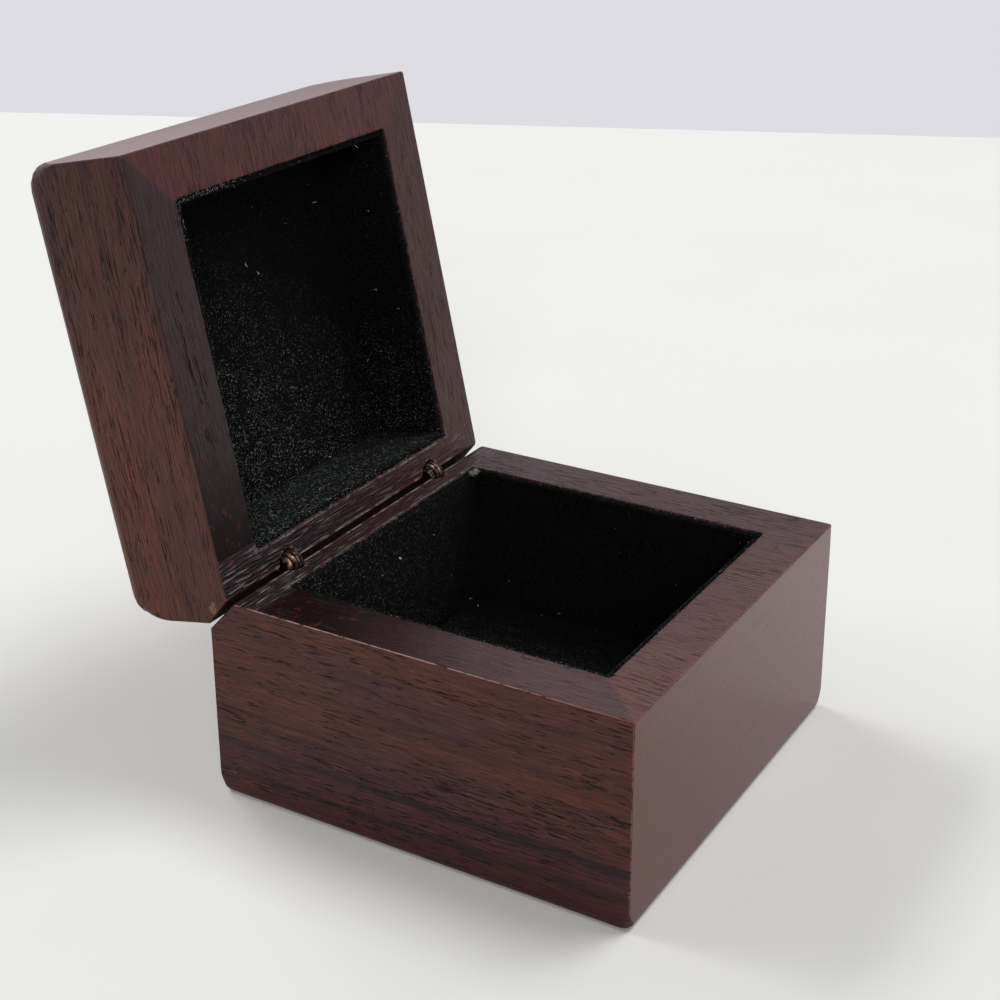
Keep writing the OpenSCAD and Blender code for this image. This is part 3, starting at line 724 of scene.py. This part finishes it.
def sortFaces(piece):  # cut across at the front and rear, left from the saw on the chamfer
    for face in piece.data.polygons:
        if face.material_index == 0 and face.normal.y > 0.3 and face.normal.z > 0.3:
            face.material_index = 3
        elif face.material_index == 0 and abs(face.normal.y) > 0.985:
            face.material_index = 2


def finishNormals(piece, angle=32):
    mesh = piece.data
    mesh.shade_smooth()
    mesh.set_sharp_from_angle(angle=math.radians(angle))
    even = piece.modifiers.new("normals", "WEIGHTED_NORMAL")
    even.keep_sharp = True
    bake(piece)


for kind, half in halves.items():
    size, place = half["size"], half["place"]
    wood = blockBody(f"{kind}_wood", size, Matrix(), finishes[kind])
    low, high = half["pocket"]
    cut(wood, pocketCutter(low, high))
    holes = []
    for side in ("left", "right"):
        barrel = localBox(f"{side}_hinge_{kind}_barrel", place)
        middle = (barrel[0].x + barrel[1].x) / 2
        radius = (barrel[1].x - barrel[0].x) / 2 + block["holeSlack"]
        cut(wood, holeCutter(middle, radius, barrel[0].z - 0.3 * mm))
        holes += mouthChips(middle, radius, size)
    marks = [(Vector(at) * mm, mm, reach) for at, reach in dents[kind]]
    sortFaces(wood)
    cut(wood, chipCutter(crackCuts(kind, size), edgeChips(kind, size) + holes + marks), crossing=True)
    dropBubbles(wood)
    finishNormals(wood)
    wood.matrix_world = place
    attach(wood, kind)
    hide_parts(half["block"])
    half["wood"] = wood
    print(kind, "block cut,", len(wood.data.polygons), "faces")


# The velvet panels

panel = {
    "cell": 0.8 * mm,       # spacing of the panel's mesh
    "edgeRadius": 0.4 * mm,
    "ripple": 0.08 * mm,    # how far the glued velvet is out of flat
    "ragged": 0.34 * mm,    # how far its cut edge wanders
    "rise": 0.22 * mm,      # the pile stands that much over the card's edge
    "meet": 0.06 * mm,      # and fills the glue line to the next panel
}


def velvetPanel(name, box, face, place, material):
    # face is the axis and the sign of the side that shows
    low, high = [Vector(v) for v in box]
    axis, sign = face
    u, v = [i for i in range(3) if i != axis]
    wall = v == 2
    for i in (u, v):
        low[i] -= panel["meet"]
        high[i] += panel["rise"] if wall and i == 2 else panel["meet"]
    nu, nv = [max(4, round((high[i] - low[i]) / panel["cell"])) for i in (u, v)]
    deep = high[axis] - low[axis]
    back = low[axis] if sign > 0 else high[axis]
    seed = Vector((len(name) * 3.1, low.x * 90, low.y * 70))
    rows = [j / nv for j in range(nv + 1)]
    if wall:  # closer rows where the pile rounds over the top edge
        rows = rows[:-1] + [1 - panel["cell"] / (high[2] - low[2]) * k for k in (0.6, 0.35, 0.15, 0.0)]
    points, index = [], {}
    for i in range(nu + 1):
        for j, row in enumerate(rows):
            p = [0.0, 0.0, 0.0]
            p[u] = low[u] + (high[u] - low[u]) * i / nu
            p[v] = low[v] + (high[v] - low[v]) * row
            curve = min(1.0, (high[2] - p[2] + 0.06 * mm) / panel["edgeRadius"]) if wall else 1.0
            lift = math.sqrt(1 - (1 - curve) ** 2)
            ripple = panel["ripple"] * noise.noise(Vector(p) * 160 + seed)
            p[axis] = back + sign * max(0.3 * deep, deep * lift - panel["ripple"] + ripple)
            if wall and row == 1:  # the cut edge at the rim isn't straight
                p[2] += panel["ragged"] * (noise.noise(Vector((p[u] * 900, 0, 0)) + seed) - 0.1)
            index[i, j] = len(points)
            points.append(p)
    nv = len(rows) - 1
    around = [(i, 0) for i in range(nu)] + [(nu, j) for j in range(nv)]
    around += [(i, nv) for i in range(nu, 0, -1)] + [(0, j) for j in range(nv, 0, -1)]
    first = len(points)
    for key in around:
        p = list(points[index[key]])
        p[axis] = back
        points.append(p)
    faces = [(index[i, j], index[i + 1, j], index[i + 1, j + 1], index[i, j + 1]) for i in range(nu) for j in range(nv)]
    for k in range(len(around)):
        a, b = index[around[k]], index[around[(k + 1) % len(around)]]
        faces.append((b, a, first + k, first + (k + 1) % len(around)))
    faces.append(tuple(range(first, len(points)))[::-1])
    made = meshObject(name, points, faces, place, [material])
    shape = bmesh.new()
    shape.from_mesh(made.data)
    bmesh.ops.recalc_face_normals(shape, faces=shape.faces)
    shape.to_mesh(made.data)
    shape.free()
    made.data.shade_smooth()
    return made


panels = {  # node, the side that shows, and the axes of its width and length
    "{}_front_lining": ((1, 1), (0, 2)), "{}_rear_lining": ((1, -1), (0, 2)),
    "{}_left_lining": ((0, 1), (1, 2)), "{}_right_lining": ((0, -1), (1, 2)),
}
for kind, half in halves.items():
    made = []
    for pattern, (face, flat) in {**panels, half["pad"]: ((2, 1), (0, 1))}.items():
        node = pattern.format(kind)
        box = localBox(node, half["place"])
        if kind == "lid" and face[0] == 0:  # the lid's halves are turned over, so its left lies at the right
            face = (0, 1 if box[0].x < 0 else -1)
        cloth = velvetPanel(node.replace("lining", "velvet"), box, face, half["place"], velvets[kind])
        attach(cloth, kind)
        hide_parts(node)
        [box[1][i] - box[0][i] for i in flat]
        made.append(cloth)
    half["cloth"] = made
print("velvet laid")


# Loose pile along the cut edges, and dust in the velvet

fuzz = {
    "perMm": 22.0,            # fibres on each millimetre of cut edge
    "length": (0.25, 0.85),   # millimetres
    "thick": (0.05, 0.10),    # real ones are 0.02, too fine to show
    "overPanel": 0.35,        # loose fibres on each square millimetre of velvet
    "paleOnes": 70,           # bleached or dusty fibres along the cut edge
    "tufts": {"base": [], "lid": [(0, 0.88, 0.09, 150), (1, 0.06, 0.05, 40)]},  # edge, place, spread, count
    "lintFlecks": 34,
    "lintSize": (0.05, 0.15),
    # The brightest flecks, in millimetres in the half's own axes, and how large
    "bright": {"base": [((0.3, 23.0, -5.7), 0.34), ((-4.5, 23.0, -6.4), 0.2)], "lid": [((0.7, 6.4, -13.0), 0.14)]},
}


def strand(points, faces, start, way, length, thick, bend):
    side = way.orthogonal().normalized()
    other = way.cross(side)
    first, rings = len(points), 4
    for k in range(rings):
        t = k / rings
        middle = start + way * (length * t) + bend * (length * t * t)
        reach = thick / 2 * (1 - 0.6 * t)
        for turn in (0, 2.0944, 4.18879):
            points.append(middle + side * (reach * math.cos(turn)) + other * (reach * math.sin(turn)))
    points.append(start + way * length + bend * length)
    faces.append((first + 2, first + 1, first))
    for k in range(rings - 1):
        for i in range(3):
            a, b = first + 3 * k + i, first + 3 * k + (i + 1) % 3
            faces.append((a, b, b + 3, a + 3))
    tip, top = len(points) - 1, first + 3 * (rings - 1)
    for i in range(3):
        faces.append((top + i, top + (i + 1) % 3, tip))


def randomWay():
    return Vector((random.gauss(0, 1), random.gauss(0, 1), random.gauss(0, 1))).normalized()


def edgeFuzz(name, kind, half, perMm, thick, material, tufts=()):
    low, high = half["pocket"]
    points, faces = [], []
    corners = [Vector((low.x, low.y, 0)), Vector((high.x, low.y, 0)), Vector((high.x, high.y, 0)), Vector((low.x, high.y, 0))]
    for k in range(4):
        a, b = corners[k], corners[(k + 1) % 4]
        run = (b - a).normalized()
        inward = Vector((-run.y, run.x, 0))
        spots = [random.random() for _ in range(int((b - a).length / mm * perMm))]
        extra = [random.gauss(middle, spread) for edge, middle, spread, count in tufts if edge == k for _ in range(count)]
        for t in spots + extra:
            clump = noise.noise(Vector((t * 45, k * 7.0, 3.0 if kind == "lid" else 0.0)))
            if clump < -0.3 or not 0 < t < 1:
                continue
            length = random.uniform(*fuzz["length"]) * mm * (0.5 + 1.0 * max(0, clump) + 0.5 * random.random() ** 3)
            start = a.lerp(b, t) + inward * random.uniform(-0.2, 0.6) * mm + Vector((0, 0, -random.uniform(0.0, 0.25) * mm))
            way = (run * random.gauss(0, 0.8) - inward * random.uniform(-0.2, 1.3) + Vector((0, 0, random.uniform(0.1, 0.7)))).normalized()
            bend = (run * random.gauss(0, 0.5) - inward * random.gauss(0.2, 0.3) + Vector((0, 0, -random.uniform(0.1, 0.6)))) * 0.6
            strand(points, faces, start, way, length, random.uniform(*thick) * mm, bend)
    return meshObject(name, points, faces, half["place"], [material])


def insideSpots(half, count):  # places on the velvet with the way out of it
    low, high = half["pocket"]
    z0, z1 = high.z, -0.8 * mm
    deep = 1.0 * mm
    for _ in range(count):
        wall = random.random()
        x, y = random.uniform(low.x + deep, high.x - deep), random.uniform(low.y + deep, high.y - deep)
        z = random.uniform(z0, z1)
        if wall < 0.5:
            yield Vector((x, y, z0)), Vector((0, 0, 1))
        elif wall < 0.75:
            way = random.choice((-1, 1))
            yield Vector((x, (low.y if way > 0 else high.y) + way * deep, z)), Vector((0, way, 0))
        else:
            way = random.choice((-1, 1))
            yield Vector(((low.x if way > 0 else high.x) + way * deep, y, z)), Vector((way, 0, 0))


def looseFibres(kind, half):
    low, high = half["pocket"]
    area = (high.x - low.x) * (high.y - low.y) + 2 * (high.x - low.x + high.y - low.y) * -high.z
    points, faces = [], []
    for spot, out in insideSpots(half, int(area / mm ** 2 * fuzz["overPanel"])):
        way = (randomWay() + out * 0.3).normalized()
        strand(points, faces, spot - out * 0.05 * mm, way, random.uniform(0.3, 1.0) * mm, random.uniform(*fuzz["thick"]) * mm, randomWay() * 0.4 - out * 0.25)
    return meshObject(f"{kind}_velvet_fibres", points, faces, half["place"], [velvets[kind]])


def lintFlecks(kind, half):
    points, faces = [], []
    for spot, out in insideSpots(half, fuzz["lintFlecks"]):
        reach = random.uniform(*fuzz["lintSize"]) * mm
        for _ in range(random.choice((1, 1, 2, 3))):
            way = (randomWay() + out * 0.4).normalized()
            strand(points, faces, spot + out * 0.03 * mm, way, reach * random.uniform(1, 4), reach, randomWay() * 0.6)
    for spot, reach in fuzz["bright"][kind]:
        for _ in range(4):
            strand(points, faces, Vector(spot) * mm, randomWay(), reach * 0.8 * mm, reach * mm, randomWay() * 0.3)
    return meshObject(f"{kind}_lint", points, faces, half["place"], [lint])


for kind, half in halves.items():
    paleEach = fuzz["paleOnes"] / (4 * (half["pocket"][1].x - half["pocket"][0].x) / mm)
    for piece in (edgeFuzz(f"{kind}_velvet_fuzz", kind, half, fuzz["perMm"], fuzz["thick"], velvets[kind]),
                  edgeFuzz(f"{kind}_pale_fibres", kind, half, paleEach, (0.03, 0.05), lint, fuzz["tufts"][kind]),
                  looseFibres(kind, half), lintFlecks(kind, half)):
        piece.data.shade_smooth()
        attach(piece, kind)
print("pile and dust added")


# A bead of glue at the base pocket's rear right corner

bead = {"reach": (1.05 * mm, 0.65 * mm, 0.45 * mm), "inFromCorner": (1.3 * mm, 0.9 * mm), "below": 0.30 * mm}
shape = bmesh.new()
bmesh.ops.create_icosphere(shape, subdivisions=4, radius=1.0)
for vert in shape.verts:
    lump = 1 + 0.6 * noise.noise(vert.co * 1.9) + 0.25 * noise.noise(vert.co * 5)
    vert.co = Vector([vert.co[i] * bead["reach"][i] * lump for i in range(3)])
low, high = halves["base"]["pocket"]
beadPiece = meshObject("glue_bead", [], [], toBase @ Matrix.Translation(
    (high.x - bead["inFromCorner"][0], high.y - bead["inFromCorner"][1], -bead["below"])), [glue])
shape.to_mesh(beadPiece.data)
shape.free()
beadPiece.data.shade_smooth()
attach(beadPiece, "base")


# The hinges keep their CAD shape

for side in ("left", "right"):
    for name in ("base_barrel", "lid_barrel", "base_leaves", "lid_leaves", "pin"):
        node = frame["nodes"][f"{side}_hinge_{name}"]
        node.material_slots[0].material = steel if name == "pin" else brass
print("hinges finished")


# Floor, light and camera

studio = {
    "floor": "#F1F1EF",
    "wall": "#DEDDE3",              # pale wall far behind the table
    "ambient": 0.15,
    "tableEnd": ((287.7, 397.3), (429.6, 55.4)),  # two points of the table's far edge, in millimetres
    "lamps": [  # which way it stands from the box, its width, height and distance in metres, its power in watts
        ((0.05, 0.74, 0.67), 2.0, 0.75, 2.4, 28.0),
        ((-0.75, -0.47, 0.47), 0.9, 0.9, 2.4, 19.0),
        ((0.30, -0.25, 0.92), 1.3, 1.0, 2.4, 23.0),
        ((0.78, -0.45, 0.44), 0.8, 0.8, 2.4, 5.5),
    ],
}
camera = {
    "at": (-202.48, -115.38, 144.55),       # millimetres
    "looks": (0.80172, 0.47781, -0.35909),
    "rollDeg": -0.32,
    "focalPx": 1814.8, "shiftUp": -0.10,    # the photo is the upper part of its frame
}

# The table is painted chipboard, matt, with a faint mottle from the roller
floorMaterial, tree, surface = newMaterial("paintedTable")
spot = addNode(tree, "ShaderNodeTexCoord").outputs["Object"]
mottle = addNode(tree, "ShaderNodeTexNoise", {"Vector": spot, "Scale": 18.0, "Detail": 3.0}).outputs["Fac"]
tone = addNode(tree, "ShaderNodeMix", {0: mottle, 6: linear("#EDEDEA"), 7: linear(studio["floor"])}, data_type="RGBA").outputs[2]
tree.links.new(tone, surface.inputs["Base Color"])
surface.inputs["Roughness"].default_value = 0.85
surface.inputs["Specular IOR Level"].default_value = 0.2
farA, farB = [Vector((*point, 0)) * mm for point in studio["tableEnd"]]
along = (farB - farA).normalized()
back = Vector((along.y, -along.x, 0))  # away from the wall
farA, farB = farA - along * 8, farB + along * 8
corners = [farA, farB, farB + back * 12, farA + back * 12]
floor = meshObject("floor", corners, [(0, 1, 2, 3)], Matrix(), [floorMaterial])

world = bpy.data.worlds.new("studio")
world.use_nodes = True
bpy.context.scene.world = world
tree = world.node_tree
tree.nodes.clear()
ray = addNode(tree, "ShaderNodeLightPath").outputs
seen = addNode(tree, "ShaderNodeMath", {0: ray["Is Camera Ray"], 1: ray["Is Glossy Ray"]}, operation="MAXIMUM").outputs[0]
seen = addNode(tree, "ShaderNodeMath", {0: seen, 1: ray["Is Transmission Ray"]}, operation="MAXIMUM").outputs[0]
strength = addNode(tree, "ShaderNodeMapRange", {0: seen, 3: studio["ambient"], 4: 1.0}).outputs[0]
color = addNode(tree, "ShaderNodeMix", {0: seen, 6: linear("#FFFFFF"), 7: linear(studio["wall"])}, data_type="RGBA").outputs[2]
sky = addNode(tree, "ShaderNodeBackground", {"Color": color, "Strength": strength})
addNode(tree, "ShaderNodeOutputWorld", {"Surface": sky.outputs[0]})

for i, (way, width, height, distance, power) in enumerate(studio["lamps"]):
    lamp = bpy.data.lights.new(f"softbox{i}", "AREA")
    lamp.shape, lamp.size, lamp.size_y, lamp.energy = "ELLIPSE", width, height, power
    stand = bpy.data.objects.new(f"softbox{i}", lamp)
    bpy.context.scene.collection.objects.link(stand)
    stand.location = Vector(way).normalized() * distance
    stand.rotation_euler = (-Vector(way)).to_track_quat("-Z", "Y").to_euler()

lens = bpy.data.cameras.new("camera")
lens.sensor_width, lens.lens = 36.0, 36.0 * camera["focalPx"] / 1000
lens.shift_y = camera["shiftUp"]
lens.clip_start, lens.clip_end = 0.01, 20
eye = bpy.data.objects.new("camera", lens)
bpy.context.scene.collection.objects.link(eye)
aim = Vector(camera["looks"]).to_track_quat("-Z", "Y").to_matrix().to_4x4()
eye.matrix_world = Matrix.Translation(Vector(camera["at"]) * mm) @ aim @ Matrix.Rotation(math.radians(camera["rollDeg"]), 4, "Z")
bpy.context.scene.camera = eye
bpy.context.scene.view_settings.view_transform = "Standard"
